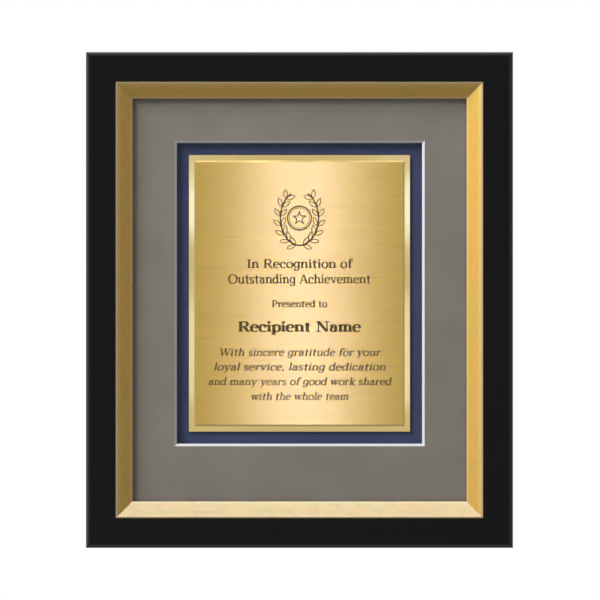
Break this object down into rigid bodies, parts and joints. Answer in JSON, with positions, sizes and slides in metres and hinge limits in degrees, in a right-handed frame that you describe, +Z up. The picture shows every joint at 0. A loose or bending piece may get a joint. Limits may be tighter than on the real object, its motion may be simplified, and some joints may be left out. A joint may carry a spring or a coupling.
{
  "type": "framed award plaque",
  "caption": "Framed wall plaque: mitred black wooden frame with gilded slips, glazing, bevelled mat and a layered brass award plate, hung on D-rings at the back.",
  "frame": {"origin": "middle of the frame's outline, in the plane of the wall that the bumpers meet", "axes": "+Z up, +X to the right seen from the front, -Y out of the wall towards the viewer"},
  "size_m": [0.3908, 0.0323, 0.4538],
  "materials": {
    "black_wood": "satin black lacquer",
    "gilding": "mottled gilding on wood",
    "glazing": "clear picture glass",
    "taupe_mat": "matt paper face, white core",
    "navy_mat": "matt paper face",
    "white_foam": "foam strip",
    "mounting_tape": "foam tape",
    "polished_brass": "mirror polished",
    "brushed_brass": "brushed across",
    "hardboard": "bare hardboard",
    "zinc_steel": "bright zinc plating",
    "black_rubber": "matt"
  },
  "bodies": {
    "root": {"top_rail": "black_wood", "gold_slip_top": "gilding", "mat_spacer_top": "white_foam", "bottom_rail": "black_wood", "gold_slip_bottom": "gilding", "mat_spacer_bottom": "white_foam", "left_rail": "black_wood", "gold_slip_left": "gilding", "mat_spacer_left": "white_foam", "right_rail": "black_wood", "gold_slip_right": "gilding", "mat_spacer_right": "white_foam", "glazing": "glazing", "top_mat": "taupe_mat", "lower_mat": "navy_mat", "backing_board": "hardboard", "plate_base": "polished_brass", "engraved_plate": "brushed_brass", "plate_tape_left": "mounting_tape", "hanger_strap_left": "zinc_steel", "hanger_screw_left": "zinc_steel", "wall_bumper_left": "black_rubber", "plate_tape_right": "mounting_tape", "hanger_strap_right": "zinc_steel", "hanger_screw_right": "zinc_steel", "wall_bumper_right": "black_rubber", "button_screw_top_left": "zinc_steel", "button_screw_top_right": "zinc_steel", "button_screw_bottom_left": "zinc_steel", "button_screw_bottom_right": "zinc_steel", "button_screw_left_upper": "zinc_steel", "button_screw_left_lower": "zinc_steel", "button_screw_right_upper": "zinc_steel", "button_screw_right_lower": "zinc_steel", "corner_nail_bottom_left_outer": "zinc_steel", "corner_nail_bottom_left_inner": "zinc_steel", "corner_nail_bottom_right_outer": "zinc_steel", "corner_nail_bottom_right_inner": "zinc_steel", "corner_nail_top_right_outer": "zinc_steel", "corner_nail_top_right_inner": "zinc_steel", "corner_nail_top_left_outer": "zinc_steel", "corner_nail_top_left_inner": "zinc_steel"},
    "button_top_left": {"turn_button_top_left": "zinc_steel"},
    "button_top_right": {"turn_button_top_right": "zinc_steel"},
    "button_bottom_left": {"turn_button_bottom_left": "zinc_steel"},
    "button_bottom_right": {"turn_button_bottom_right": "zinc_steel"},
    "button_left_upper": {"turn_button_left_upper": "zinc_steel"},
    "button_left_lower": {"turn_button_left_lower": "zinc_steel"},
    "button_right_upper": {"turn_button_right_upper": "zinc_steel"},
    "button_right_lower": {"turn_button_right_lower": "zinc_steel"},
    "ring_left": {"hanger_ring_left": "zinc_steel"},
    "ring_right": {"hanger_ring_right": "zinc_steel"}
  },
  "joints": [
    {"name": "top_left_button_turn", "type": "hinge", "parent": "root", "child": "button_top_left", "pos_m": [-0.095, -0.0048, 0.2024], "axis": [0, 1, 0], "continuous": true},
    {"name": "top_right_button_turn", "type": "hinge", "parent": "root", "child": "button_top_right", "pos_m": [0.095, -0.0048, 0.2024], "axis": [0, 1, 0], "continuous": true},
    {"name": "bottom_left_button_turn", "type": "hinge", "parent": "root", "child": "button_bottom_left", "pos_m": [-0.095, -0.0048, -0.2024], "axis": [0, 1, 0], "continuous": true},
    {"name": "bottom_right_button_turn", "type": "hinge", "parent": "root", "child": "button_bottom_right", "pos_m": [0.095, -0.0048, -0.2024], "axis": [0, 1, 0], "continuous": true},
    {"name": "left_upper_button_turn", "type": "hinge", "parent": "root", "child": "button_left_upper", "pos_m": [-0.1709, -0.0048, 0.138], "axis": [0, 1, 0], "continuous": true},
    {"name": "left_lower_button_turn", "type": "hinge", "parent": "root", "child": "button_left_lower", "pos_m": [-0.1709, -0.0048, -0.138], "axis": [0, 1, 0], "continuous": true},
    {"name": "right_upper_button_turn", "type": "hinge", "parent": "root", "child": "button_right_upper", "pos_m": [0.1709, -0.0048, 0.138], "axis": [0, 1, 0], "continuous": true},
    {"name": "right_lower_button_turn", "type": "hinge", "parent": "root", "child": "button_right_lower", "pos_m": [0.1709, -0.0048, -0.138], "axis": [0, 1, 0], "continuous": true},
    {"name": "left_ring_swing", "type": "hinge", "parent": "root", "child": "ring_left", "pos_m": [-0.1653, -0.0029, 0.0769], "axis": [0, 0, 1], "range_deg": [0, 175]},
    {"name": "right_ring_swing", "type": "hinge", "parent": "root", "child": "ring_right", "pos_m": [0.1653, -0.0029, 0.0769], "axis": [0, 0, -1], "range_deg": [0, 175]}
  ]
}
